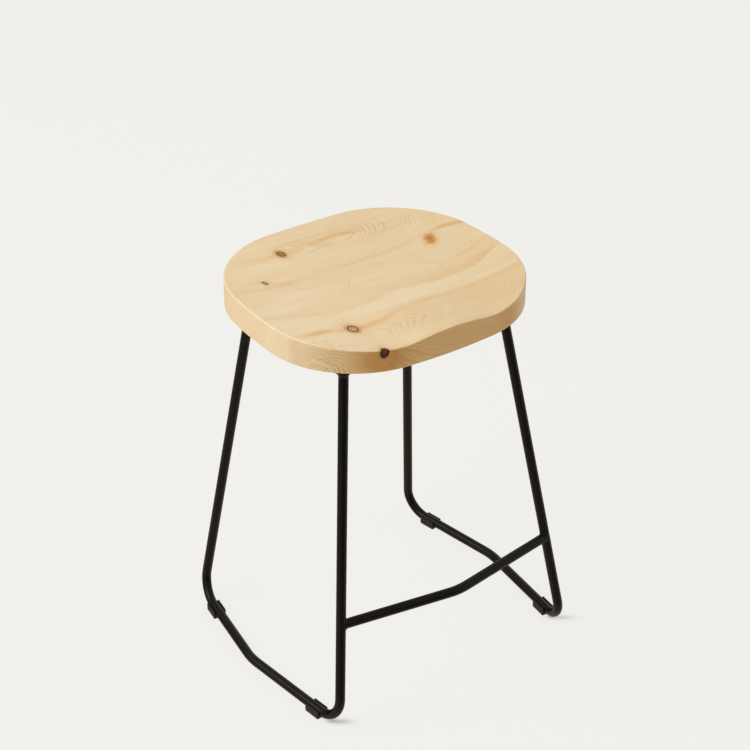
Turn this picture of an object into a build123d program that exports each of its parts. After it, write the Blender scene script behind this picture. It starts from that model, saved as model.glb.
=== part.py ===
from build123d import *
import math
import os

# Driving dimensions in millimetres. +Z is up, the floor is z = 0, the front (footrest side)
# faces -Y, and the stool is mirrored about the plane x = 0.

# seat; the channel places and spreads are shares of half the seat width
SEAT_WIDTH = 454.5
SEAT_DEPTH = 411.6
SEAT_CENTRE_Y = 18.6
SEAT_UNDERSIDE_Z = 612.0
RIM_THICKNESS = 48.3
CHANNEL_THICKNESS = 36.0
CHANNEL_PLACE = 0.40
CHANNEL_SPREAD_IN = 0.22
CHANNEL_SPREAD_OUT = 0.41
RIDGE_DROP = 0.25
DISH_DEPTH = 11.0
WIDEST_AHEAD_OF_CENTRE = 21.5
SIDE_RADIUS = 860.0
FRONT_RADIUS = 870.0
BACK_RADIUS = 1800.0
FRONT_CORNER_RADIUS = 160.0
BACK_CORNER_RADIUS = 165.0
TOP_EDGE_ROUND = 2.0
BOTTOM_EDGE_BEVEL = 1.2
BOARD_JOINTS_Y = (-71.0, -16.0, 105.0)

# bent tube
TUBE_DIAMETER = 16.0
TUBE_WALL = 1.5
TUBE_RADIUS = TUBE_DIAMETER / 2
FOOT_BEND_RADIUS = 40.5
RUNNER_BEND_RADIUS = 120.0
FOOTREST_BEND_RADIUS = 110.0

# glides under the runners
GLIDE_SOLE = 2.0
GLIDE_LENGTH = 31.0
GLIDE_WIDTH = 22.6
GLIDE_HEIGHT = 14.5
GLIDE_LEAD_IN = 58.3

# rails under the seat
RAIL_WIDTH = 24.0
RAIL_HEIGHT = 16.0
RAIL_WALL = 1.5
RAIL_BOTTOM_Z = SEAT_UNDERSIDE_Z - RAIL_HEIGHT

# legs: centre-line positions at the rail underside and at the runner level
RUNNER_Z = GLIDE_SOLE + TUBE_RADIUS
LEG_TOP_X = 153.0
FRONT_LEG_TOP_Y = -118.0
BACK_LEG_TOP_Y = 141.2
FRONT_FOOT_X = 230.0
FRONT_FOOT_Y = -211.5
BACK_FOOT_X = 221.5
BACK_FOOT_Y = 222.5
RUNNER_MIDDLE_X = 254.7
RUNNER_MIDDLE_Y = 14.3

# footrest
FOOTREST_Z = 183.7
FOOTREST_MIDDLE_Y = -217.7

# screws
SCREW_SHANK_DIAMETER = 4.5
SCREW_HEAD_DIAMETER = 9.5
SCREW_HEAD_HEIGHT = 3.0
SCREW_IN_WOOD = 22.0
RAIL_HOLE_DIAMETER = 5.5

# welds
WELD_LEG = 3.8
WELD_REACH = 6.0


def mirror_x(point):
    return Vector(-point.X, point.Y, point.Z)


def front_leg_top():
    return Vector(LEG_TOP_X, FRONT_LEG_TOP_Y, RAIL_BOTTOM_Z)


def back_leg_top():
    return Vector(LEG_TOP_X, BACK_LEG_TOP_Y, RAIL_BOTTOM_Z)


def front_foot():
    return Vector(FRONT_FOOT_X, FRONT_FOOT_Y, RUNNER_Z)


def back_foot():
    return Vector(BACK_FOOT_X, BACK_FOOT_Y, RUNNER_Z)


def runner_middle():
    return Vector(RUNNER_MIDDLE_X, RUNNER_MIDDLE_Y, RUNNER_Z)


def along(start, end, share):
    return start + (end - start) * share


def rounded_path(corners, radii):
    """Straight stretches joined by arcs that are tangent to both neighbours."""
    edges = []
    last = corners[0]
    for before, corner, after, radius in zip(corners, corners[1:], corners[2:], radii):
        to_before = (before - corner).normalized()
        to_after = (after - corner).normalized()
        half_angle = math.radians(to_before.get_angle(to_after)) / 2
        reach = radius / math.tan(half_angle)
        centre = corner + (to_before + to_after).normalized() * (radius / math.sin(half_angle))
        arc_start = corner + to_before * reach
        arc_end = corner + to_after * reach
        arc_middle = centre + (corner - centre).normalized() * radius
        edges.append(Edge.make_line(last, arc_start))
        edges.append(Edge.make_three_point_arc(arc_start, arc_middle, arc_end))
        last = arc_end
    edges.append(Edge.make_line(last, corners[-1]))
    return Wire(edges)


def round_bar(path, radius):
    section = Plane(origin=path @ 0, z_dir=path % 0) * Circle(radius)
    return sweep(section, path=path)


def hoop_path(side):
    """One side: front leg, tight bend, runner bent outward at its middle, bend, back leg."""
    front_top = along(front_foot(), front_leg_top(), 1.04)
    back_top = along(back_foot(), back_leg_top(), 1.04)
    corners = [front_top, front_foot(), runner_middle(), back_foot(), back_top]
    if side < 0:
        corners = [mirror_x(corner) for corner in corners]
    return rounded_path(corners, [FOOT_BEND_RADIUS, RUNNER_BEND_RADIUS, FOOT_BEND_RADIUS])


def below_rails():
    size = 1200.0
    return Pos(0, 0, RAIL_BOTTOM_Z - size / 2) * Box(size, size, size)


def side_hoop(side):
    path = hoop_path(side)
    outside = round_bar(path, TUBE_RADIUS)
    bore = round_bar(path, TUBE_RADIUS - TUBE_WALL)
    return (outside - bore) & below_rails()


def footrest_ends():
    share = (FOOTREST_Z - RUNNER_Z) / (RAIL_BOTTOM_Z - RUNNER_Z)
    right = along(front_foot(), front_leg_top(), share)
    return mirror_x(right), right


def footrest_path():
    left, right = footrest_ends()
    middle = Vector(0, FOOTREST_MIDDLE_Y, FOOTREST_Z)
    return rounded_path([left, middle, right], [FOOTREST_BEND_RADIUS])


def front_leg_rod(side, radius):
    low = along(front_foot(), front_leg_top(), 0.15)
    high = along(front_foot(), front_leg_top(), 1.04)
    if side < 0:
        low = mirror_x(low)
        high = mirror_x(high)
    return round_bar(Wire([Edge.make_line(low, high)]), radius)


def back_leg_rod(side, radius):
    low = along(back_foot(), back_leg_top(), 0.15)
    high = along(back_foot(), back_leg_top(), 1.04)
    if side < 0:
        low = mirror_x(low)
        high = mirror_x(high)
    return round_bar(Wire([Edge.make_line(low, high)]), radius)


def footrest_bar():
    """Bent tube coped at both ends to sit against the front legs."""
    path = footrest_path()
    bar = round_bar(path, TUBE_RADIUS) - round_bar(path, TUBE_RADIUS - TUBE_WALL)
    for side in (-1, 1):
        bar = bar - front_leg_rod(side, TUBE_RADIUS)
    return max(bar.solids(), key=lambda solid: solid.volume)


def fillet_ring(plane, length):
    """Concave weld fillet around a tube, thin end first along the plane normal."""
    inner = TUBE_RADIUS
    outer = TUBE_RADIUS + WELD_LEG
    with BuildSketch(Plane.XZ) as profile:
        with BuildLine():
            Line((inner, 0), (inner, length))
            Line((inner, length), (outer, length))
            Line((outer, length), (outer, WELD_REACH))
            RadiusArc((outer, WELD_REACH), (inner, 0), -WELD_REACH * 1.25)
        make_face()
    ring = revolve(profile.sketch, axis=Axis.Z, revolution_arc=360)
    return plane.location * ring


def leg_top_weld(front, side):
    """Weld ring where a leg meets the underside of its rail."""
    low = front_foot() if front else back_foot()
    high = front_leg_top() if front else back_leg_top()
    if side < 0:
        low = mirror_x(low)
        high = mirror_x(high)
    direction = (high - low).normalized()
    ring = fillet_ring(Plane(origin=high - direction * (WELD_REACH + 1), z_dir=direction), 14.0)
    rod = front_leg_rod(side, TUBE_RADIUS) if front else back_leg_rod(side, TUBE_RADIUS)
    pad = Pos(high.X, high.Y, RAIL_BOTTOM_Z) * Cylinder(RAIL_WIDTH / 2, 60)
    return (ring - rod) & below_rails() & pad


def footrest_weld(side):
    """Weld ring between a footrest end and its leg, no deeper than the two tubes."""
    path = footrest_path()
    end = path @ 0 if side < 0 else path @ 1
    outward = path % 0 * -1 if side < 0 else path % 1
    ring = fillet_ring(Plane(origin=end - outward * (TUBE_RADIUS + WELD_REACH), z_dir=outward), 11.0)
    leg_direction = (front_leg_top() - front_foot()).normalized()
    if side < 0:
        leg_direction = mirror_x(leg_direction)
    across = outward.cross(leg_direction).normalized()
    slab_plane = Plane(origin=end, x_dir=outward, z_dir=across)
    slab = slab_plane.location * Box(60, 60, TUBE_DIAMETER + 1.0)
    trimmed = ((ring & slab) - front_leg_rod(side, TUBE_RADIUS)) - round_bar(path, TUBE_RADIUS)
    return max(trimmed.solids(), key=lambda solid: solid.volume)


def rail(length, along_x):
    """Rectangular tube lying flat under the seat, closed at both ends; side rails end round."""
    outside = Box(length, RAIL_WIDTH, RAIL_HEIGHT)
    if not along_x:
        outside = fillet(outside.edges().filter_by(Axis.Z), RAIL_WIDTH / 2 - 0.1)
    inside = offset(outside, -RAIL_WALL)
    tube = outside - inside
    turn = 0 if along_x else 90
    return Pos(0, 0, RAIL_BOTTOM_Z + RAIL_HEIGHT / 2) * Rot(0, 0, turn) * tube


def side_rail_screws():
    return [(side * LEG_TOP_X, y) for side in (-1, 1) for y in (-50.0, 72.0)]


def cross_rail_screws():
    rows = (FRONT_LEG_TOP_Y, BACK_LEG_TOP_Y)
    return [(x, y) for y in rows for x in (-70.0, 70.0)]


def screw_positions():
    return side_rail_screws() + cross_rail_screws()


def upright_rods(diameter, bottom, top):
    height = top - bottom
    places = [Pos(x, y, bottom + height / 2) for x, y in screw_positions()]
    return Compound([place * Cylinder(diameter / 2, height) for place in places])


def side_rail(side):
    front_end = FRONT_LEG_TOP_Y - RAIL_WIDTH / 2
    back_end = BACK_LEG_TOP_Y + RAIL_WIDTH / 2
    bar = rail(back_end - front_end, along_x=False)
    bar = Pos(side * LEG_TOP_X, (front_end + back_end) / 2, 0) * bar
    return bar - upright_rods(RAIL_HOLE_DIAMETER, RAIL_BOTTOM_Z - 5, SEAT_UNDERSIDE_Z + 5)


def cross_rail(centre_y):
    bar = Pos(0, centre_y, 0) * rail(2 * LEG_TOP_X - RAIL_WIDTH, along_x=True)
    return bar - upright_rods(RAIL_HOLE_DIAMETER, RAIL_BOTTOM_Z - 5, SEAT_UNDERSIDE_Z + 5)


def seat_screws():
    """Pan-head wood screws driven up through the rails, one solid each."""
    shank_bottom = RAIL_BOTTOM_Z - 0.5
    shank_top = SEAT_UNDERSIDE_Z + SCREW_IN_WOOD
    tip = 5.0
    solids = []
    for x, y in screw_positions():
        head = Pos(x, y, RAIL_BOTTOM_Z - SCREW_HEAD_HEIGHT / 2)
        head = head * Cylinder(SCREW_HEAD_DIAMETER / 2, SCREW_HEAD_HEIGHT)
        head = fillet(head.edges().group_by(Axis.Z)[0], 1.6)
        length = shank_top - tip - shank_bottom
        shank = Pos(x, y, shank_bottom + length / 2) * Cylinder(SCREW_SHANK_DIAMETER / 2, length)
        point = Pos(x, y, shank_top - tip / 2) * Cone(SCREW_SHANK_DIAMETER / 2, 0.4, tip)
        slots = Pos(x, y, RAIL_BOTTOM_Z - SCREW_HEAD_HEIGHT) * (Box(5, 1.1, 2.4) + Box(1.1, 5, 2.4))
        solids.append((head + shank + point - slots).solid())
    return Compound(solids)


def side_arc_centre():
    return Vector(SEAT_WIDTH / 2 - SIDE_RADIUS, -WIDEST_AHEAD_OF_CENTRE)


def corner_arc(end_centre, end_radius, corner_radius):
    """Corner arc on the +X side, tangent to the side arc and to the front or back arc."""
    side_centre = side_arc_centre()
    from_side = SIDE_RADIUS - corner_radius
    from_end = end_radius - corner_radius
    gap = end_centre - side_centre
    spacing = gap.length
    reach = (from_side**2 - from_end**2 + spacing**2) / (2 * spacing)
    rise = math.sqrt(from_side**2 - reach**2)
    ahead = gap * (1 / spacing)
    across = Vector(-ahead.Y, ahead.X) * rise
    candidates = [side_centre + ahead * reach + across, side_centre + ahead * reach - across]
    centre = max(candidates, key=lambda point: point.X)
    side_direction = (centre - side_centre).normalized()
    end_direction = (centre - end_centre).normalized()
    side_join = side_centre + side_direction * SIDE_RADIUS
    middle = centre + (side_direction + end_direction).normalized() * corner_radius
    end_join = end_centre + end_direction * end_radius
    return side_join, middle, end_join


def seat_outline():
    """Rounded square made of eight tangent arcs, drawn about the seat centre."""
    front_centre = Vector(0, FRONT_RADIUS - SEAT_DEPTH / 2)
    back_centre = Vector(0, SEAT_DEPTH / 2 - BACK_RADIUS)
    front = corner_arc(front_centre, FRONT_RADIUS, FRONT_CORNER_RADIUS)
    back = corner_arc(back_centre, BACK_RADIUS, BACK_CORNER_RADIUS)
    side_apex = Vector(SEAT_WIDTH / 2, -WIDEST_AHEAD_OF_CENTRE)
    edges = []
    for side in (1, -1):
        for start, middle, end in (front, back, (front[0], side_apex, back[0])):
            points = [Vector(p.X * side, p.Y) for p in (start, middle, end)]
            edges.append(Edge.make_three_point_arc(*points))
    for apex, join in ((Vector(0, -SEAT_DEPTH / 2), front[2]), (Vector(0, SEAT_DEPTH / 2), back[2])):
        edges.append(Edge.make_three_point_arc(Vector(-join.X, join.Y), apex, join))
    return Wire(edges)


def smooth_step(value):
    value = min(max(value, 0.0), 1.0)
    return value * value * (3 - 2 * value)


def seat_thickness(x, y):
    """Dished top with a level back and sides, two thigh channels and a low ridge between them."""
    across = abs(x) / (SEAT_WIDTH / 2)
    ahead = -y / (SEAT_DEPTH / 2)
    edge = (across**2.8 + abs(ahead) ** 2.8) ** (1 / 2.8)
    dish = RIM_THICKNESS - DISH_DEPTH * (1 - min(edge, 1.0) ** 3)
    spread = CHANNEL_SPREAD_IN if across < CHANNEL_PLACE else CHANNEL_SPREAD_OUT
    bowl = math.exp(-(((across - CHANNEL_PLACE) / spread) ** 2))
    channel = RIDGE_DROP + (1 - RIDGE_DROP) * bowl
    return dish - smooth_step(ahead / 0.95) * channel * (dish - CHANNEL_THICKNESS)


def seat_top_cutter():
    """Block whose lower face is the dished seating surface."""
    half_x = SEAT_WIDTH / 2 + 12
    half_y = SEAT_DEPTH / 2 + 12
    count = 29
    rows = []
    for i in range(count):
        x = -half_x + 2 * half_x * i / (count - 1)
        row = []
        for j in range(count):
            y = -half_y + 2 * half_y * j / (count - 1)
            row.append(Vector(x, y, seat_thickness(x, y)))
        rows.append(row)
    face = Face.make_surface_from_array_of_points(rows, tol=0.01)
    return extrude(face, amount=40, dir=(0, 0, 1))


def whole_seat():
    blank = extrude(make_face(seat_outline()), amount=RIM_THICKNESS + 5)
    seat = blank - seat_top_cutter()
    top_edges = seat.faces().sort_by(Axis.Z)[-1].edges()
    seat = fillet(top_edges, TOP_EDGE_ROUND)
    bottom_edges = seat.faces().sort_by(Axis.Z)[0].edges()
    seat = chamfer(bottom_edges, BOTTOM_EDGE_BEVEL)
    seat = Pos(0, SEAT_CENTRE_Y, SEAT_UNDERSIDE_Z) * seat
    tip = SEAT_UNDERSIDE_Z + SCREW_IN_WOOD + 0.5
    return seat - upright_rods(SCREW_SHANK_DIAMETER, SEAT_UNDERSIDE_Z - 5, tip)


def seat_boards():
    """The seat sawn into its edge-glued boards, front to back."""
    seat = whole_seat()
    limits = (-300.0, *BOARD_JOINTS_Y, 300.0)
    boards = []
    for front, back in zip(limits, limits[1:]):
        slab = Pos(0, (front + back) / 2, SEAT_UNDERSIDE_Z) * Box(600, back - front, 200)
        boards.append(seat & slab)
    return boards


def glide(side, front):
    """Clip-on plastic saddle gripping a runner from below, next to the bottom bend."""
    corner = front_foot() if front else back_foot()
    middle = runner_middle()
    if side < 0:
        corner = mirror_x(corner)
        middle = mirror_x(middle)
    direction = (middle - corner).normalized()
    centre = corner + direction * GLIDE_LEAD_IN
    body = Pos(0, 0, GLIDE_HEIGHT / 2) * Box(GLIDE_LENGTH, GLIDE_WIDTH, GLIDE_HEIGHT)
    body = fillet(body.edges().filter_by(Axis.Z), 2.0)
    body = chamfer(body.edges().group_by(Axis.Z)[-1], 0.8)
    body = chamfer(body.edges().group_by(Axis.Z)[0], 1.4)
    heading = math.degrees(math.atan2(direction.Y, direction.X))
    body = Pos(centre.X, centre.Y, 0) * Rot(0, 0, heading) * body
    return body - round_bar(hoop_path(side), TUBE_RADIUS)


def all_parts():
    parts = {}
    for number, board in enumerate(seat_boards(), start=1):
        parts[f"seat_board_{number}"] = board
    for side, word in ((-1, "left"), (1, "right")):
        parts[f"{word}_side_hoop"] = side_hoop(side)
        parts[f"{word}_side_rail"] = side_rail(side)
        parts[f"{word}_footrest_weld"] = footrest_weld(side)
        for front, end in ((True, "front"), (False, "back")):
            parts[f"{end}_{word}_leg_weld"] = leg_top_weld(front, side)
            parts[f"{end}_{word}_glide"] = glide(side, front)
    parts["front_cross_rail"] = cross_rail(FRONT_LEG_TOP_Y)
    parts["back_cross_rail"] = cross_rail(BACK_LEG_TOP_Y)
    parts["footrest_bar"] = footrest_bar()
    parts["seat_screws"] = seat_screws()
    return parts


os.makedirs("parts", exist_ok=True)
for name, shape in all_parts().items():
    export_step(shape, f"parts/{name}.step")
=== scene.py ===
import math

import bmesh
import bpy
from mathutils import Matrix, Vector


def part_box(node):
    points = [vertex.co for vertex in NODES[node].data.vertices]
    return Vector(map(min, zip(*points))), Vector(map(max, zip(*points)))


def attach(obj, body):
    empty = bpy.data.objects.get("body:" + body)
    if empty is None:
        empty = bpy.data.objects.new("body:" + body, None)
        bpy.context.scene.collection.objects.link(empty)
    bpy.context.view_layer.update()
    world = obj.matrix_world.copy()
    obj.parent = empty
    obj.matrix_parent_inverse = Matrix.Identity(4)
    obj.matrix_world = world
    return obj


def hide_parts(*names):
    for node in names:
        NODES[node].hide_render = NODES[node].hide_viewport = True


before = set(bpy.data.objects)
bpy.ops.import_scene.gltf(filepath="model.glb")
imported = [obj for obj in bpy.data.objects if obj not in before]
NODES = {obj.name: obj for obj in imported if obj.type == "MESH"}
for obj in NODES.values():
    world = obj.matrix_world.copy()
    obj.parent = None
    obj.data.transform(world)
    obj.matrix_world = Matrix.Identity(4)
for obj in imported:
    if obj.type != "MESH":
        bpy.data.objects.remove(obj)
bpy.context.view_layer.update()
MM = 0.001
TUBE_RADIUS = 8.0 * MM


# ---------------------------------------------------------------- shader graphs

ONE_OVER_E = 0.3679


class Signal:
    """A value in a shader graph. Ordinary arithmetic on it adds math nodes."""

    def __init__(self, graph, socket):
        self.graph = graph
        self.socket = socket

    def __add__(self, other):
        return self.graph.math("ADD", self, other)

    def __sub__(self, other):
        return self.graph.math("SUBTRACT", self, other)

    def __mul__(self, other):
        return self.graph.math("MULTIPLY", self, other)

    def __truediv__(self, other):
        return self.graph.math("DIVIDE", self, other)

    def __abs__(self):
        return self.graph.math("ABSOLUTE", self)


class Graph:
    """One node tree with short ways to add nodes to it."""

    def __init__(self, tree):
        self.tree = tree
        tree.nodes.clear()

    def node(self, kind, **settings):
        made = self.tree.nodes.new("ShaderNode" + kind)
        for key, value in settings.items():
            setattr(made, key, value)
        return made

    def feed(self, socket, value):
        if isinstance(value, Signal):
            self.tree.links.new(value.socket, socket)
        elif isinstance(value, tuple) and len(value) == 3 and socket.type == "RGBA":
            socket.default_value = (*value, 1.0)
        else:
            socket.default_value = value

    def math(self, operation, *values):
        made = self.node("Math", operation=operation)
        for socket, value in zip(made.inputs, values):
            self.feed(socket, value)
        return Signal(self, made.outputs[0])

    def clamp(self, value):
        made = self.node("Math", operation="ADD", use_clamp=True)
        self.feed(made.inputs[0], value)
        made.inputs[1].default_value = 0.0
        return Signal(self, made.outputs[0])

    def squared(self, value):
        return self.math("MULTIPLY", value, value)

    def bell(self, *offsets):
        """1 where every offset is 0, falling off smoothly to 0 around it."""
        total = self.squared(offsets[0])
        for offset in offsets[1:]:
            total = self.math("MULTIPLY_ADD", offset, offset, total)
        return self.math("POWER", ONE_OVER_E, total)

    def point(self, x, y, z):
        made = self.node("CombineXYZ")
        for socket, value in zip(made.inputs, (x, y, z)):
            self.feed(socket, value)
        return Signal(self, made.outputs[0])

    def split(self, vector):
        made = self.node("SeparateXYZ")
        self.feed(made.inputs[0], vector)
        return [Signal(self, socket) for socket in made.outputs]

    def noise(self, vector, scale=1.0, detail=2.0, roughness=0.5):
        made = self.node("TexNoise")
        self.feed(made.inputs["Vector"], vector)
        made.inputs["Scale"].default_value = scale
        made.inputs["Detail"].default_value = detail
        made.inputs["Roughness"].default_value = roughness
        return Signal(self, made.outputs[0])

    def scatter(self, value):
        """A steady random number for each whole number."""
        made = self.node("TexWhiteNoise", noise_dimensions="1D")
        self.feed(made.inputs["W"], value)
        return Signal(self, made.outputs[0])

    def spread(self, value, low, high, out_low=0.0, out_high=1.0):
        """Smooth step from out_low to out_high while value goes from low to high."""
        made = self.node("MapRange", interpolation_type="SMOOTHSTEP")
        self.feed(made.inputs["Value"], value)
        made.inputs["From Min"].default_value = low
        made.inputs["From Max"].default_value = high
        made.inputs["To Min"].default_value = out_low
        made.inputs["To Max"].default_value = out_high
        return Signal(self, made.outputs[0])

    def curve(self, value, points):
        """Smooth function of value through the (value, result) points."""
        first, last = points[0][0], points[-1][0]
        results = [result for _, result in points]
        low, high = min(results), max(results)
        reach = max(high - low, 1e-6)
        made = self.node("FloatCurve")
        drawn = made.mapping.curves[0]
        while len(drawn.points) < len(points):
            drawn.points.new(0.5, 0.5)
        for spot, (place, result) in zip(drawn.points, points):
            spot.location = ((place - first) / (last - first), (result - low) / reach)
        made.mapping.update()
        share = self.math("DIVIDE", self.math("SUBTRACT", value, first), last - first)
        self.feed(made.inputs["Value"], share)
        return self.math("MULTIPLY_ADD", Signal(self, made.outputs[0]), reach, low)

    def ramp(self, value, stops):
        """Colour and alpha of a ramp with (position, colour, alpha) stops."""
        made = self.node("ValToRGB")
        elements = made.color_ramp.elements
        while len(elements) < len(stops):
            elements.new(0.5)
        for element, (place, colour, alpha) in zip(elements, stops):
            element.position = place
            element.color = (*colour, alpha)
        self.feed(made.inputs[0], value)
        return Signal(self, made.outputs[0]), Signal(self, made.outputs[1])

    def mix(self, share, first, second, blend="MIX"):
        made = self.node("Mix", data_type="RGBA", blend_type=blend)
        self.feed(made.inputs[0], share)
        self.feed(made.inputs[6], first)
        self.feed(made.inputs[7], second)
        return Signal(self, made.outputs[2])

    def bump(self, height, strength, distance):
        made = self.node("Bump")
        self.feed(made.inputs["Height"], height)
        made.inputs["Strength"].default_value = strength
        made.inputs["Distance"].default_value = distance
        return Signal(self, made.outputs[0])


def new_material(name):
    material = bpy.data.materials.new(name)
    material.use_nodes = True
    return material, Graph(material.node_tree)


def millimetres(graph):
    """Object coordinates in millimetres; every piece keeps its place in its mesh."""
    place = graph.node("TexCoord").outputs["Object"]
    scaled = graph.node("VectorMath", operation="SCALE")
    graph.tree.links.new(place, scaled.inputs[0])
    scaled.inputs["Scale"].default_value = 1000.0
    return Signal(graph, scaled.outputs[0])


def surface(graph, **inputs):
    shader = graph.node("BsdfPrincipled")
    for name, value in inputs.items():
        graph.feed(shader.inputs[name.replace("_", " ")], value)
    output = graph.node("OutputMaterial")
    graph.tree.links.new(shader.outputs[0], output.inputs[0])


def srgb(red, green, blue):
    def linear(level):
        level = level / 255
        return level / 12.92 if level <= 0.04045 else ((level + 0.055) / 1.055) ** 2.4
    return (linear(red), linear(green), linear(blue))


# ---------------------------------------------------------------- pine

CREAM = (0.885, 0.728, 0.482)
TAN = (0.760, 0.480, 0.215)
ORANGE = (0.760, 0.370, 0.085)
LATEWOOD = (0.640, 0.385, 0.150)
# Painted light on the left-facing end wall.
LEFT_END_PAINTED_LIGHT = (0.88, 0.75, 0.60)
# Painted highlight along the left rim of the top.
RIM_PAINTED_HIGHLIGHT = (0.98, 0.90, 0.64)
# Side-grain walls: partly the wood's own tone, partly painted shade.
SIDE_GRAIN_AND_PAINTED_SHADE = (0.975, 0.85, 0.655)
# Tint of the darker patches on the side wall.
WALL_DARKENING_TINT = (0.76, 0.62, 0.42)
SEAT_TOP = 655.0
WALL_KNOT_END = -168.0

# Knot looks: (distance from the centre over twice the knot's radius, colour, cover).
BROWN_KNOT = (
    (0.00, srgb(196, 146, 84), 1.0), (0.16, srgb(160, 108, 48), 1.0),
    (0.26, srgb(172, 122, 62), 1.0), (0.36, srgb(118, 74, 26), 1.0),
    (0.44, srgb(112, 70, 24), 0.95), (0.52, srgb(182, 130, 64), 0.7),
    (0.90, srgb(216, 166, 98), 0.0),
)
RINGED_KNOT = (
    (0.00, srgb(222, 184, 150), 1.0), (0.18, srgb(176, 128, 88), 1.0),
    (0.31, srgb(218, 176, 136), 1.0), (0.38, srgb(96, 58, 20), 1.0),
    (0.45, srgb(64, 34, 6), 1.0), (0.51, srgb(176, 120, 56), 0.85),
    (0.90, srgb(216, 160, 90), 0.0),
)
TINY_KNOT = (
    (0.00, srgb(214, 180, 134), 1.0), (0.20, srgb(190, 152, 106), 1.0),
    (0.31, srgb(62, 44, 28), 1.0), (0.42, srgb(74, 54, 34), 0.9),
    (0.52, srgb(196, 152, 98), 0.5), (0.90, srgb(218, 176, 120), 0.0),
)
SOFT_KNOT = (
    (0.00, srgb(192, 122, 52), 1.0), (0.12, srgb(202, 136, 64), 1.0),
    (0.26, srgb(211, 150, 76), 0.95), (0.38, srgb(218, 162, 90), 0.80),
    (0.50, srgb(224, 174, 106), 0.34), (0.85, srgb(228, 184, 120), 0.0),
)
DARK_KNOT = (
    (0.00, srgb(140, 84, 52), 1.0), (0.09, srgb(60, 30, 16), 1.0),
    (0.20, srgb(124, 66, 34), 1.0), (0.30, srgb(52, 27, 12), 1.0),
    (0.47, srgb(46, 24, 10), 1.0), (0.56, srgb(118, 76, 34), 0.7),
    (0.76, srgb(180, 136, 84), 0.0),
)

# SEAT_TOP is the level that the hearts are measured from, and WALL_KNOT_END is the y at
# which a knot of the front wall starts to fade out on the top.
# All places are in millimetres in the object's frame. Grain runs along X. Lists of pairs
# are (x, value) points of a smooth curve.
# seed: which part of the noise patterns the board shows.
# pith: where across the board its ring surfaces are centred.
# heart: how far below SEAT_TOP that centre lies.
# tone, lines: how tan the board is and how clear its ring lines are all over.
# ring: width of one year's growth. ripple: how wavy the ring surfaces are.
# end_grain: (x, reach in x, amount) stretches of the side wall with clear ring lines.
# tones, clear: (x, y, reach in x, reach in y, amount) patches of darker wood and of
# clearer ring lines.
# wall_darkening: (x, z, reach in x, reach in z, amount) darker patches of the side wall.
# streaks: centre line, reach to the front, reach to the back, strength, hue.
# knots: place, face it shows on, half sizes, lean, look.
WAVE = ((-230, -8), (-182, -22), (-147, -33), (-110, -42), (-52, -40), (-7, -32), (40, -37),
        (95, -44), (148, -40), (190, -25), (230, -10))
WAVE_SHADE = (WAVE, 3, 18, ((-230, 0.04), (-147, 0.16), (-80, 0.16), (0, 0.20), (95, 0.24),
                            (180, 0.26), (230, 0.18)), "tan")
PATCH_EDGE = ((-230, -66), (-60, -70), (0, -78), (50, -86), (93, -90), (148, -87), (230, -72))
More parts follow.
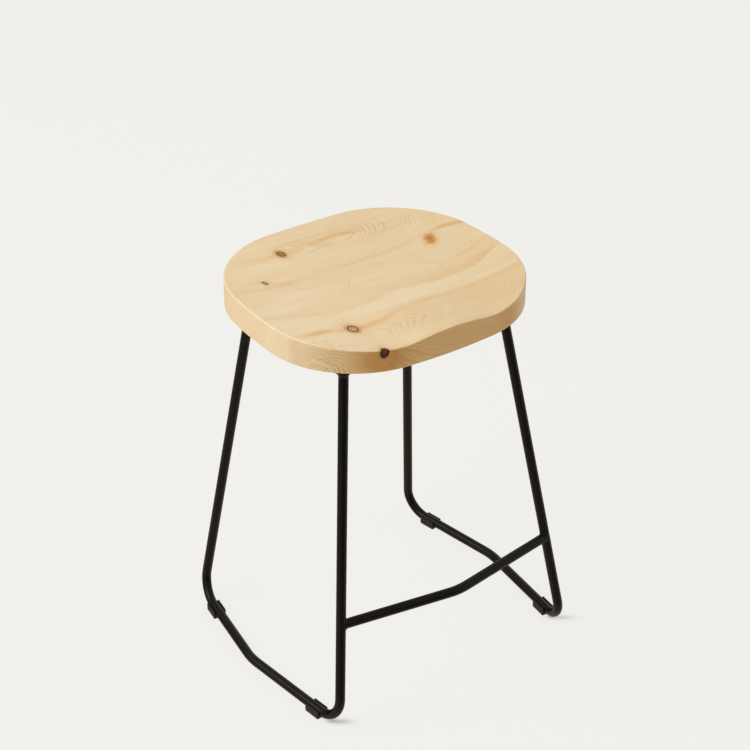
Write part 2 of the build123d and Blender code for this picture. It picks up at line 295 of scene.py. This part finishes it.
BOARDS = {
    "seat_board_1": {
        "seed": 3.0, "tone": 0.12, "lines": 0.20, "ring": 3.4, "ripple": 13,
        "pith": ((-230, -112), (-190, -116), (-120, -127), (230, -127)),
        "heart": ((-230, 44), (-120, 45), (-60, 58), (40, 84), (110, 92), (230, 128)),
        "tones": ((-185, -125, 45, 40, -0.16), (100, -115, 70, 26, 0.10),
                  (55, -170, 40, 18, -0.06), (-125, -178, 48, 14, 0.10)),
        "end_grain": ((-202, 30, 1.45), (195, 26, 0.60)),
        "wall_darkening": ((-122, 634, 36, 30, 1.35), (122, 630, 28, 34, 0.62)),
        "clear": ((-75, -128, 45, 16, 0.70), (-10, -132, 45, 30, 1.00),
                  (170, -135, 40, 30, 0.70), (-190, -142, 36, 26, 1.60),
                  (-60, -185, 80, 8, 1.10), (90, -182, 60, 8, 0.60)),
        "streaks": (
            (PATCH_EDGE,
             400, 4, ((-230, 0.0), (-150, 0.04), (-60, 0.12), (0, 0.24), (230, 0.26)), "tan"),
            (((-230, -84), (-187, -82), (-150, -88), (-121, -97), (-90, -100), (-45, -92),
              (0, -86), (230, -90)),
             7, 7, ((-230, 0.05), (-190, 0.34), (-168, 0.52), (-145, 0.36), (-125, 0.60),
                    (-95, 0.50), (-50, 0.34), (0, 0.16), (150, 0.20), (230, 0.05)), "orange"),
        ),
        "knots": (
            ((-121, -97), "top", (7.6, 10.4), 0.10, RINGED_KNOT),
            ((-118, 645.5, -176), "wall", (6.2, 8.2), 0.0, DARK_KNOT),
        ),
    },
    "seat_board_2": {
        "seed": 11.0, "tone": 0.08, "lines": 0.12, "ring": 3.0, "ripple": 8,
        "pith": ((-230, -150), (230, -150)),
        "heart": ((-230, 60), (0, 66), (230, 58)),
        "end_grain": ((-228, 12, 0.25), (228, 14, 0.80)),
        "tones": ((190, -60, 80, 60, 0.18), (-190, -50, 60, 30, -0.05)),
        "clear": ((200, -60, 30, 20, 0.30),),
        "streaks": (
            (WAVE,
             3, 400, ((-230, 0.0), (-150, 0.05), (-60, 0.14), (0, 0.16), (230, 0.22)), "tan"),
            WAVE_SHADE,
        ),
        "knots": (),
    },
    "seat_board_3": {
        "seed": 23.0, "tone": 0.24, "lines": 0.16, "ring": 3.0, "ripple": 10,
        "pith": ((-230, 37), (230, 37)),
        "heart": ((-230, 48), (-70, 52), (-20, 60), (60, 62), (110, 50), (150, 58), (205, 76),
                  (230, 80)),
        "end_grain": ((-228, 12, 0.25), (228, 14, 0.80)),
        "tones": ((-160, 25, 60, 30, -0.18), (-190, -5, 40, 20, -0.10), (95, 29, 22, 7, 0.20),
                  (168, 3, 18, 7, 0.16), (58, -14, 26, 8, 0.10), (40, 50, 120, 20, 0.02)),
        "clear": ((172, 32, 34, 32, 1.10), (-45, 25, 24, 18, 0.45), (-180, 45, 18, 12, 0.30)),
        "streaks": (
            WAVE_SHADE,
            (((-230, 90), (-190, 84), (-140, 76), (-85, 78), (-37, 82), (0, 79), (68, 79),
              (118, 82), (168, 92), (198, 87), (230, 74)),
             5, 8, ((-230, 0.10), (-180, 0.22), (-120, 0.30), (-60, 0.20), (0, 0.26),
                    (110, 0.22), (150, 0.06), (198, 0.95), (230, 0.80)), "tan"),
            (((-230, 112), (-172, 108), (-150, 96), (-110, 79), (230, 79)),
             5, 5, ((-230, 0.0), (-185, 0.20), (-160, 0.34), (-125, 0.28), (-90, 0.0),
                    (230, 0.0)), "orange"),
            (((-230, 30), (0, 30), (80, 22), (140, -2), (185, 6), (230, 14)),
             6, 8, ((-230, 0.0), (0, 0.0), (80, 0.10), (140, 0.20), (230, 0.12)), "tan"),
        ),
        "knots": (
            ((-154, 96), "top", (3.4, 6.4), 0.15, TINY_KNOT),
            ((149, 71), "top", (12.0, 18.5), -0.62, SOFT_KNOT),
        ),
    },
    "seat_board_4": {
        "seed": 37.0, "tone": 0.20, "lines": 0.18, "ring": 3.0, "ripple": 8,
        "pith": ((-230, 165), (230, 165)),
        "heart": ((-230, 40), (-60, 41), (0, 42), (50, 43), (80, 49), (130, 63), (180, 78),
                  (230, 90)),
        "end_grain": ((-190, 45, 0.70), (0, 140, 0.60), (185, 50, 1.00)),
        "tones": ((-140, 140, 50, 16, -0.14), (0, 125, 60, 14, -0.08), (188, 130, 16, 26, 0.16),
                  (30, 172, 60, 12, 0.10)),
        "clear": ((20, 168, 75, 26, 0.95), (120, 164, 52, 36, 1.20), (-50, 180, 30, 14, 0.7),
                  (190, 120, 20, 30, 0.4)),
        "streaks": (
            (((-230, 174), (-157, 169), (-117, 164), (-85, 163), (-60, 160), (0, 166),
              (53, 167), (90, 160), (230, 160)),
             6, 6, ((-230, 0.0), (-157, 0.14), (-117, 0.30), (-85, 0.30), (-62, 0.34),
                    (-25, 0.12), (3, 0.34), (53, 0.34), (85, 0.06), (230, 0.0)), "orange"),
        ),
        "knots": (
            ((-80, 164), "top", (6.8, 9.4), 0.10, BROWN_KNOT),
        ),
    },
}


def knot_distance(graph, x, y, z, place, facing, size, lean):
    """Distance from a knot's centre, 1 at its rim, and the two offsets over its size.

    A knot on top is placed by x and y. One on the front wall is placed by x, z and y, and
    bends over the rounded edge.
    """
    if facing == "top":
        beside = (y - place[1]) / size[1]
    else:
        beside = (z - place[1] + (y - place[2]) * 0.7) / size[1]
    along = (x - place[0]) / size[0] + beside * lean
    return graph.math("SQRT", graph.squared(along) + graph.squared(beside)), along, beside


def latewood(graph, board, at, flow, drift):
    """How dark the late growth of each ring is, and how clearly the rings show."""
    x, y, z = at
    deep = graph.curve(x, board["heart"]) + (z - SEAT_TOP) + (drift - 0.5) * board["ripple"]
    across = flow - graph.curve(x, board["pith"])
    radius = graph.math("SQRT", graph.squared(across) + graph.squared(deep))
    count = radius / board["ring"]
    part = graph.math("FRACT", count)
    late = graph.spread(part, 0.15, 0.75) * graph.spread(part, 0.84, 1.0, 1.0, 0.0)
    each = graph.scatter(graph.math("FLOOR", count)) * 0.65 + 0.35
    patchy = graph.noise(graph.point(x / 70, y / 16, z / 20 + board["seed"]), detail=2.0)
    clear = patchy * board["lines"]
    for at_x, at_y, reach_x, reach_y, amount in board["clear"]:
        spot = graph.bell((x - at_x) / reach_x, (y - at_y) / reach_y)
        clear = clear + spot * amount * graph.spread(patchy, 0.2, 0.6, 0.45, 1.0)
    below = graph.spread(z, SEAT_TOP - 9, SEAT_TOP + 3, 1.0, 0.0)
    for at_x, reach_x, amount in board["end_grain"]:
        clear = clear + graph.bell((x - at_x) / reach_x) * below * amount
    return late * each, clear


def streaks(graph, board, x, y, drift):
    """Hue and strength of each of the board's long streaks."""
    for path, front, back, strength, hue in board["streaks"]:
        offset = y - graph.curve(x, path) + (drift - 0.5) * 4
        behind = graph.math("MAXIMUM", offset, 0.0)
        ahead = graph.math("MINIMUM", offset, 0.0)
        reach = behind / back - ahead / front
        yield hue, graph.bell(reach) * graph.curve(x, strength)


def shade_walls(graph, board, x, z, colour):
    """Side walls: partly painted shade on side grain, painted light on the left end and rim."""
    normal = graph.node("TexCoord").outputs["Normal"]
    facing_x, facing_y, facing_z = graph.split(Signal(graph, normal))
    wall = graph.spread(abs(facing_z), 0.45, 0.80, 1.0, 0.0)
    right_side = graph.math("MAXIMUM", x, 0.0)
    # Side-grain walls darker and warmer: partly grain tone, partly painted shade.
    side_grain_and_painted_shade = graph.spread(abs(facing_y) - right_side * 0.001, 0.55, 0.95) * wall
    colour = graph.mix(side_grain_and_painted_shade, colour, SIDE_GRAIN_AND_PAINTED_SHADE, "MULTIPLY")
    # Painted light: the left-facing end wall is paled.
    painted_light_left_end = graph.spread(facing_x, -0.80, -0.98, 0.0, 1.0) * wall
    colour = graph.mix(painted_light_left_end * 0.22, colour, LEFT_END_PAINTED_LIGHT)
    # Painted highlight on the rounded rim where it faces up and to the left.
    painted_rim_highlight = graph.bell((facing_z - 0.72) / 0.22)
    painted_rim_highlight = painted_rim_highlight * graph.spread(facing_x, -0.45, -0.05, 1.0, 0.0)
    colour = graph.mix(painted_rim_highlight * 0.55, colour, RIM_PAINTED_HIGHLIGHT)
    # Darker patches on the side wall, where the board lists them.
    for at_x, at_z, reach_x, reach_z, amount in board.get("wall_darkening", ()):
        darkening = graph.bell((x - at_x) / reach_x, (z - at_z) / reach_z) * wall * amount
        colour = graph.mix(graph.clamp(darkening), colour, WALL_DARKENING_TINT, "MULTIPLY")
    return colour


def draw_knots(graph, knots, at, mottle, colour):
    """Colour with the knots in it: a warm halo, lines that hug it, then the knot itself."""
    x, y, z = at
    rim = graph.noise(graph.point(x / 3, y / 3, z / 3), detail=2.0)
    cracks = graph.noise(graph.point(x / 1.1, y / 1.1, z / 1.1), detail=1.0)
    for distance, look, facing in knots:
        soft = look is SOFT_KNOT
        if not soft:
            warm = graph.bell(distance / 2.2) * 0.30
            colour = graph.mix(warm, colour, ORANGE)
        wave = graph.math("SINE", distance * 9 + (rim - 0.5) * 5)
        lines = graph.spread(wave, 0.0, 1.0, 0.0, 0.07 if soft else 0.24)
        hug = graph.bell((distance - 1.5) / 0.75) * lines
        colour = graph.mix(hug, colour, LATEWOOD)
        ragged = (mottle - 0.5) * 1.5 if soft else (rim - 0.5) * 0.42
        rough_edge = distance + ragged + (cracks - 0.5) * 0.34
        tint, cover = graph.ramp(rough_edge * 0.5, look)
        if facing == "wall":
            cover = cover * graph.spread(y, WALL_KNOT_END, WALL_KNOT_END + 6, 1.0, 0.0)
        colour = graph.mix(cover, colour, tint)
    return colour


def pine(name, board):
    """Lacquered flat-sawn pine: ring surfaces around a tilted heart, flowing past knots."""
    material, graph = new_material(name)
    at = graph.split(millimetres(graph))
    x, y, z = at
    seed = board["seed"]

    # How the grain wanders, and how it bends around the knots.
    slow = graph.noise(graph.point(x / 230, y / 60 + seed, z / 60), detail=1.0)
    drift = graph.noise(graph.point(x / 55, y / 15 + seed * 2, z / 22), detail=2.0)
    flow = y + (slow - 0.5) * 16
    knots = []
    for centre, facing, size, lean, look in board["knots"]:
        distance, along, beside = knot_distance(graph, x, y, z, centre, facing, size, lean)
        knots.append((distance, look, facing))
        if facing == "top":
            push = graph.bell(along / 3.2, beside / 2.0)
            flow = flow - (y - centre[1]) * push * 0.62
    late, clear = latewood(graph, board, at, flow, drift)

    # How tan the wood is: bands, threads, fibres, mottling, patches and streaks.
    bands = graph.noise(graph.point(x / 190, flow / 20 + seed, z / 20), detail=3.0,
                        roughness=0.55)
    threads = graph.noise(graph.point(x / 60, flow / 1.6, z / 1.6 + seed), detail=2.0)
    fibres = graph.noise(graph.point(x / 14, y / 0.45, z / 0.45), detail=2.0)
    tan = (bands - 0.5) * 0.50 + (threads - 0.5) * 0.20 + (fibres - 0.5) * 0.10 + board["tone"]
    mottle = graph.noise(graph.point(x / 26, y / 11 + seed, z / 11), detail=3.0, roughness=0.6)
    tan = tan + (mottle - 0.5) * 0.22
    for at_x, at_y, reach_x, reach_y, amount in board["tones"]:
        tan = tan + graph.bell((x - at_x) / reach_x, (y - at_y) / reach_y) * amount
    orange = None
    for hue, streak in streaks(graph, board, x, y, drift):
        if hue == "tan":
            tan = tan + streak
        else:
            orange = streak if orange is None else orange + streak

    # From pale to tan, orange where it blushes or has a streak, then ring lines and pores.
    colour = graph.mix(graph.clamp(tan), CREAM, TAN)
    blush = graph.noise(graph.point(x / 85, flow / 13 + seed * 3, z / 16), detail=2.0)
    blush = graph.spread(blush, 0.50, 0.85, 0.0, 0.20)
    orange = blush if orange is None else orange * (mottle * 0.8 + 0.6) + blush
    colour = graph.mix(graph.clamp(orange), colour, ORANGE)
    colour = graph.mix(graph.clamp(late * clear * 0.44), colour, LATEWOOD)
    pores = graph.noise(graph.point(x / 5, y / 0.35 + seed, z / 0.35), detail=0.0)
    colour = graph.mix(graph.spread(pores, 0.80, 0.90, 0.0, 0.35), colour, LATEWOOD)
    colour = shade_walls(graph, board, x, z, colour)
    colour = draw_knots(graph, knots, at, mottle, colour)

    rough = (bands - 0.5) * 0.10 + (fibres - 0.5) * 0.12 - late * 0.04 + 0.50
    height = fibres * 0.5 + threads * 0.3 - late * 0.6
    surface(graph, Base_Color=colour, Roughness=rough, Specular_IOR_Level=0.30,
            Coat_Weight=0.06, Coat_Roughness=0.35, Normal=graph.bump(height, 0.35, 0.00006))
    return material


# ---------------------------------------------------------------- metal and plastic

COAT_DEEP = (0.0030, 0.0023, 0.0012)
COAT_THIN = (0.0062, 0.0048, 0.0028)
COAT_RUBBED = (0.030, 0.026, 0.020)
COAT_SPECK = (0.020, 0.018, 0.014)
PLASTIC_DEEP = (0.012, 0.0100, 0.0075)
PLASTIC_PALE = (0.026, 0.0225, 0.0175)
PLASTIC_SCUFFED = (0.055, 0.050, 0.042)
ZINC_DULL = (0.46, 0.44, 0.38)
ZINC_BRIGHT = (0.60, 0.60, 0.57)


def powder_coat():
    """Black semi-matt coating with orange peel, dust-fine specks and light rubbing low down."""
    material, graph = new_material("black_powder_coat")
    place = millimetres(graph)
    z = graph.split(place)[2]
    peel = graph.noise(place, scale=0.85, detail=2.0)
    grit = graph.noise(place, scale=3.2, detail=2.0)
    cloud = graph.noise(place, scale=0.018, detail=3.0)
    colour = graph.mix(cloud, COAT_DEEP, COAT_THIN)
    rubbed = graph.spread(graph.noise(place, scale=0.22, detail=4.0, roughness=0.7), 0.62, 0.78)
    low_down = graph.spread(z, 14.0, 24.0, 0.55, 0.06)
    colour = graph.mix(graph.clamp(rubbed * low_down), colour, COAT_RUBBED)
    specks = graph.spread(graph.noise(place, scale=0.55, detail=1.0), 0.80, 0.86)
    colour = graph.mix(specks, colour, COAT_SPECK)
    rough = (cloud - 0.5) * 0.14 + (grit - 0.5) * 0.10 + rubbed * 0.05 + 0.35
    surface(graph, Base_Color=colour, Roughness=graph.clamp(rough), Specular_IOR_Level=0.18,
            Normal=graph.bump(peel + grit * 0.3, 0.30, 0.00012))
    return material


def glide_plastic():
    """Black moulded plastic, fine spark texture, greyer where it slides on the floor."""
    material, graph = new_material("black_plastic")
    place = millimetres(graph)
    z = graph.split(place)[2]
    grain = graph.noise(place, scale=2.4, detail=3.0)
    cloud = graph.noise(place, scale=0.09, detail=2.0)
    colour = graph.mix(cloud, PLASTIC_DEEP, PLASTIC_PALE)
    scuffed = graph.spread(z, 0.4, 3.0, 0.6, 0.0) * graph.spread(grain, 0.35, 0.65)
    colour = graph.mix(scuffed, colour, PLASTIC_SCUFFED)
    rough = (grain - 0.5) * 0.2 + 0.56
    surface(graph, Base_Color=colour, Roughness=rough, Specular_IOR_Level=0.30,
            Normal=graph.bump(grain, 0.35, 0.00010))
    return material


def zinc():
    """Bright zinc plating with fine turning marks and a slight yellow cast."""
    material, graph = new_material("zinc_plate")
    place = millimetres(graph)
    x, y, z = graph.split(place)
    marks = graph.noise(graph.point(x / 2, y / 2, z * 4), detail=2.0)
    cloud = graph.noise(place, scale=0.5, detail=2.0)
    colour = graph.mix(cloud, ZINC_DULL, ZINC_BRIGHT)
    rough = (marks - 0.5) * 0.2 + 0.34
    surface(graph, Base_Color=colour, Roughness=rough, Metallic=1.0,
            Normal=graph.bump(marks, 0.2, 0.00005))
    return material


# ---------------------------------------------------------------- sculpted pieces

WELDED_WITHIN = 0.000002
SHARP_ANGLE = 38
LONG_FACE = 80 * MM
COLLAR_STEPS = 64
CORNER_STEPS = 8
SUNK = 0.1 * MM
LEG_CLIMB = 7.5 * MM
RAIL_REACH = 3.9 * MM


def mesh_piece(name, rings, material, replaced, loop=False):
    """Skin a row of equal rings of points (in metres) into one smooth closed piece.

    The row is capped at both ends, or with loop its last ring joins its first.
    """
    mesh = bpy.data.meshes.new(name)
    shape = bmesh.new()
    rows = [[shape.verts.new(point) for point in ring] for ring in rings]
    count = len(rows[0])
    pairs = list(zip(rows, rows[1:]))
    if loop:
        pairs.append((rows[-1], rows[0]))
    for first, second in pairs:
        for i in range(count):
            j = (i + 1) % count
            shape.faces.new((first[i], first[j], second[j], second[i]))
    if not loop:
        shape.faces.new(reversed(rows[0]))
        shape.faces.new(rows[-1])
    bmesh.ops.remove_doubles(shape, verts=shape.verts, dist=WELDED_WITHIN)
    bmesh.ops.triangulate(shape, faces=[face for face in shape.faces if len(face.verts) > 4])
    bmesh.ops.recalc_face_normals(shape, faces=shape.faces)
    shape.to_mesh(mesh)
    shape.free()
    mesh.materials.append(material)
    mesh.polygons.foreach_set("use_smooth", [True] * len(mesh.polygons))
    mesh.set_sharp_from_angle(angle=math.radians(SHARP_ANGLE))
    piece = bpy.data.objects.new(name, mesh)
    bpy.context.scene.collection.objects.link(piece)
    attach(piece, "root")
    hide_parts(replaced)
    return piece


def tube_direction(node, near, reach):
    """Direction of the straight tube that starts close to a point, from its long side faces."""
    mesh = NODES[node].data
    normals = []
    for face in mesh.polygons:
        corners = [mesh.vertices[index].co for index in face.vertices]
        longest = max((first - second).length for first in corners for second in corners)
        closest = min((corner - near).length for corner in corners)
        if longest > LONG_FACE and closest < reach:
            normals.append(face.normal.copy())
    first = normals[0]
    second = min(normals, key=lambda normal: abs(normal.dot(first)))
    return first.cross(second).normalized()


def upward(direction):
    return direction if direction.z > 0 else -direction


def soft_corner(start, corner, end, steps):
    """Points of the curve that leaves start and reaches end with both tangents at corner."""
    points = []
    for step in range(steps + 1):
        share = step / steps
        bend = corner * (2 * share * (1 - share))
        points.append(start * (1 - share) ** 2 + bend + end * share ** 2)
    return points


def bead(turn, seed):
    """Slight unevenness of a weld bead around its tube."""
    return 1 + 0.05 * math.sin(7 * turn + seed) + 0.035 * math.sin(17 * turn + 2 * seed)


def leg_top_collar(node, hoop, seed):
    """Concave weld between a leg and the flat underside of its rail."""
    low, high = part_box(node)
    roof = high.z
    middle = (low + high) / 2
    centre = Vector((middle.x, middle.y, roof))
    axis = upward(tube_direction(hoop, centre, 14 * MM))
    centre = leg_point(hoop, centre, axis, roof)
    first = axis.orthogonal().normalized()
    second = axis.cross(first)
    rings = []
    for step in range(COLLAR_STEPS):
        turn = 2 * math.pi * step / COLLAR_STEPS
        out = first * math.cos(turn) + second * math.sin(turn)
        on_tube = centre + out * TUBE_RADIUS
        corner = on_tube + axis * ((roof - on_tube.z) / axis.z)
        level = Vector((out.x, out.y, 0)).normalized()
        size = bead(turn, seed)
        start = corner - axis * (LEG_CLIMB * size) - out * SUNK
        end = corner + level * (RAIL_REACH * size) + Vector((0, 0, SUNK))
        inside = corner - out * (0.8 * MM) + Vector((0, 0, SUNK))
        middle_pull = corner + (level - axis * 1.6) * (0.9 * MM)
        rings.append(soft_corner(start, middle_pull, end, CORNER_STEPS) + [inside])
    return mesh_piece(node + "_bead", rings, COAT, node, loop=True)


def leg_point(hoop, near, axis, level):
    """Where the leg's centre line reaches a level, from the cut top ring of the hoop."""
    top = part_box(hoop)[1].z
    ring = [vertex.co for vertex in NODES[hoop].data.vertices
            if vertex.co.z > top - 0.05 * MM and (vertex.co - near).length < 40 * MM]
    x = (min(co.x for co in ring) + max(co.x for co in ring)) / 2
    y = (min(co.y for co in ring) + max(co.y for co in ring)) / 2
    start = Vector((x, y, top))
    return start + axis * ((level - top) / axis.z)


def footrest_collar(node, hoop, seed):
    """Concave weld where the footrest tube runs into the side of a front leg."""
    low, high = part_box("footrest_bar")
    level = (low.z + high.z) / 2
    head_low, head_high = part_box(
        "front_left_leg_weld" if "left" in node else "front_right_leg_weld")
    head = (head_low + head_high) / 2
    head.z = head_high.z
    leg = upward(tube_direction(hoop, head, 14 * MM))
    joint = leg_point(hoop, head, leg, level)
    out = tube_direction("footrest_bar", joint, 14 * MM)
    if out.x * joint.x < 0:
        out = -out
    up = (leg - out * leg.dot(out)).normalized()
    across = out.cross(up)
    lean = out - leg * out.dot(leg)
    rings = []
    for step in range(COLLAR_STEPS):
        turn = 2 * math.pi * step / COLLAR_STEPS
        facing = up * math.cos(turn) + across * math.sin(turn)
        offset = facing * TUBE_RADIUS
        flat = offset - leg * offset.dot(leg)
        half = flat.dot(lean)
        beyond = flat.length_squared - TUBE_RADIUS ** 2
        spare = max(half ** 2 - lean.length_squared * beyond, 0)
        reach = (-half - math.sqrt(spare)) / lean.length_squared
        corner = joint + offset + out * reach
        leg_facing = (flat + lean * reach).normalized()
        size = (4.6 * abs(math.cos(turn)) ** 0.8 + 0.5) * MM * bead(turn, seed)
        climb = max(-1.0, min(1.0, 3 * math.cos(turn)))
        start = corner - out * size - facing * SUNK
        end = corner + leg * (size * climb) - leg_facing * SUNK
        inside = corner - (facing + leg_facing) * (0.35 * MM)
        rings.append(soft_corner(start, corner, end, CORNER_STEPS) + [inside])
    return mesh_piece(node + "_bead", rings, COAT, node, loop=True)


# Sizes of a glide, in millimetres. CHEEK is half of its cross-section: (beside the tube,
# above the floor).
CHEEK = ((8.5, 13.4), (8.9, 14.3), (9.5, 14.5), (10.5, 14.5), (11.1, 14.0), (11.3, 13.2),
         (11.3, 7.0), (11.3, 2.4), (10.9, 0.9), (9.8, 0.0))
CLIP_TOP = 14.5
CLIP_HALF_LENGTH = 15.5
CRADLE_RADIUS = 8.25
TUBE_LEVEL = 10.0
RIBS = (-9.0, -4.5, 0.0, 4.5, 9.0)


def glide_clip(node, hoop):
    """Moulded clip that grips the runner from below, open at the top, with ribbed cheeks."""
    low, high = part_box(node)
    middle = (low + high) / 2
    along = tube_direction(hoop, Vector((middle.x, middle.y, TUBE_LEVEL * MM)), 45 * MM)
    along.z = 0
    along.normalize()
    beside = Vector((-along.y, along.x, 0))
    cradle = [(CRADLE_RADIUS * math.cos(turn), TUBE_LEVEL + CRADLE_RADIUS * math.sin(turn))
              for turn in (math.radians(180 + 15 * step) for step in range(13))]
    half = CLIP_HALF_LENGTH
    stations = [(-half, 0.9), (-half + 0.3, 0.4), (-half + 0.9, 0.0)]
    for rib in RIBS:
        stations += [(rib - 0.9, 0.0), (rib - 0.5, 0.45), (rib + 0.5, 0.45), (rib + 0.9, 0.0)]
    stations += [(half - 0.9, 0.0), (half - 0.3, 0.4), (half, 0.9)]
    rings = []
    for place, inset in stations:
        outline = [(side - inset, max(min(height, CLIP_TOP - inset), inset))
                   for side, height in CHEEK]
        section = outline + [(-side, height) for side, height in reversed(outline)] + cradle
        rings.append([Vector((middle.x, middle.y, 0)) + (along * place + beside * side) * MM
                      + Vector((0, 0, height * MM)) for side, height in section])
    return mesh_piece(node + "_clip", rings, PLASTIC, node)


COAT = powder_coat()
PLASTIC = glide_plastic()
ZINC = zinc()
for name, obj in NODES.items():
    if name in BOARDS:
        chosen = pine("pine_" + name, BOARDS[name])
    elif "glide" in name:
        chosen = PLASTIC
    elif name == "seat_screws":
        chosen = ZINC
    else:
        chosen = COAT
    for slot in obj.material_slots:
        slot.material = chosen
for number, side in enumerate(("left", "right")):
    hoop = side + "_side_hoop"
    footrest_collar(side + "_footrest_weld", hoop, 1.0 + number)
    for end in ("front", "back"):
        leg_top_collar(f"{end}_{side}_leg_weld", hoop, 2.0 + number)
        glide_clip(f"{end}_{side}_glide", hoop)


# ---------------------------------------------------------------- studio

# Contact shadows under each hoop's front bend: (right of and behind the foot, half length,
# half width, depth), in millimetres. They lie along the direction SHADOW_LEAN.
FOOT_SHADOWS = {
    "left_side_hoop": ((5.5, 28, 8, 5, 0.50), (16, 18, 18, 6.6, 0.58)),
    "right_side_hoop": ((2, 35, 6, 4.5, 0.75), (14, 23, 21, 6.5, 0.42)),
}
SHADOW_LEAN = (0.82, -0.57)
SHADOW = (0.30, 0.30, 0.29)
FOOT_INSET = 0.028
FLOOR_REACH = 12
FLOOR_GLOW = (0.892, 0.886, 0.856)
FLOOR_MATT = (0.880, 0.871, 0.838)
MATT_SHARE = 0.1


def build_floor():
    """Pale floor that glows as evenly as a studio sweep, with the contact shadows on it."""
    mesh = bpy.data.meshes.new("studio_floor")
    shape = bmesh.new()
    corners = ((-1, -1), (1, -1), (1, 1), (-1, 1))
    shape.faces.new([shape.verts.new((x * FLOOR_REACH, y * FLOOR_REACH, 0))
                     for x, y in corners])
    shape.to_mesh(mesh)
    shape.free()
    floor = bpy.data.objects.new("studio_floor", mesh)
    bpy.context.scene.collection.objects.link(floor)
    material, graph = new_material("studio_floor")
    x, y, _ = graph.split(millimetres(graph))
    lean_x, lean_y = SHADOW_LEAN
    shade = None
    for hoop, patches in FOOT_SHADOWS.items():
        low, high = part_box(hoop)
        foot_x = (low.x + FOOT_INSET if "left" in hoop else high.x - FOOT_INSET) / MM
        foot_y = low.y / MM
        for right, back, along, across, depth in patches:
            beside = (x - foot_x - right) * lean_x + (y - foot_y - back) * lean_y
            past = (y - foot_y - back) * lean_x - (x - foot_x - right) * lean_y
            patch = graph.bell(beside / along, past / across) * depth
            shade = patch if shade is None else shade + patch
    glow = graph.node("Emission")
    matt = graph.node("BsdfDiffuse")
    both = graph.node("MixShader")
    output = graph.node("OutputMaterial")
    graph.feed(glow.inputs[0], graph.mix(graph.clamp(shade), FLOOR_GLOW, SHADOW))
    graph.feed(matt.inputs[0], FLOOR_MATT)
    both.inputs[0].default_value = MATT_SHARE
    graph.tree.links.new(glow.outputs[0], both.inputs[1])
    graph.tree.links.new(matt.outputs[0], both.inputs[2])
    graph.tree.links.new(both.outputs[0], output.inputs[0])
    mesh.materials.append(material)
    floor.visible_diffuse = False
    floor.visible_glossy = False


DARK = (0.025, 0.023, 0.020)
FLOOR_BOUNCE = (0.80, 0.67, 0.50)
SKY = (0.66, 0.65, 0.62)
ZENITH = (0.16, 0.16, 0.15)
RIGHT_FILL = (0.95, 0.95, 0.93)
LEFT_FILL = (1.05, 1.00, 0.90)


def build_world():
    """Warm bounce from below, dark at eye level, soft sky, broad fill from both sides."""
    world = bpy.data.worlds.new("studio")
    world.use_nodes = True
    graph = Graph(world.node_tree)
    direction = Signal(graph, graph.node("TexCoord").outputs["Generated"])
    x, _, z = graph.split(direction)
    floor = graph.spread(z, -0.58, -0.16, 1.0, 0.0)
    sky = graph.spread(z, 0.10, 0.50)
    colour = graph.mix(floor, DARK, FLOOR_BOUNCE)
    colour = graph.mix(sky, colour, SKY)
    colour = graph.mix(graph.spread(z, 0.60, 0.95) * 0.55, colour, ZENITH)
    right = graph.spread(x, 0.10, 1.0) * graph.spread(z, -0.6, 0.0, 0.3, 1.0)
    left = graph.spread(x, -0.95, -0.35, 1.0, 0.0) * graph.spread(z, -0.5, 0.1, 0.3, 1.0)
    colour = graph.mix(right * 0.90, colour, RIGHT_FILL)
    colour = graph.mix(left * 0.70, colour, LEFT_FILL)
    background = graph.node("Background")
    output = graph.node("OutputWorld")
    graph.feed(background.inputs[0], colour)
    background.inputs[1].default_value = 1.0
    graph.tree.links.new(background.outputs[0], output.inputs[0])
    bpy.context.scene.world = world


MIDDLE = (0, 0, 0.5)


def soft_box(name, towards, distance, size, power, colour):
    """Square soft light that faces the middle of the stool from the given direction."""
    middle = Vector(MIDDLE)
    light = bpy.data.lights.new(name, "AREA")
    light.shape = "SQUARE"
    light.size = size
    light.energy = power
    light.color = colour
    lamp = bpy.data.objects.new(name, light)
    lamp.location = middle + Vector(towards).normalized() * distance
    lamp.rotation_euler = (middle - lamp.location).to_track_quat("-Z", "Y").to_euler()
    bpy.context.scene.collection.objects.link(lamp)


def build_light():
    build_world()
    soft_box("key", towards=(-0.70, 0.25, 0.66), distance=4.0, size=3.0, power=92,
             colour=(1.0, 0.97, 0.93))
    settings = bpy.context.scene.view_settings
    settings.view_transform = "Standard"
    settings.look = "None"


EYE = (-1.6264, -2.2808, 2.1530)
EYE_PITCH = 59.16
EYE_TURN = -35.30
LENS = 97.25


def build_camera():
    camera = bpy.data.cameras.new("camera")
    camera.sensor_width = 36.0
    camera.lens = LENS
    camera.clip_end = 100
    eye = bpy.data.objects.new("camera", camera)
    eye.location = EYE
    eye.rotation_euler = (math.radians(EYE_PITCH), 0, math.radians(EYE_TURN))
    bpy.context.scene.collection.objects.link(eye)
    bpy.context.scene.camera = eye


build_floor()
build_light()
build_camera()
bpy.context.view_layer.update()
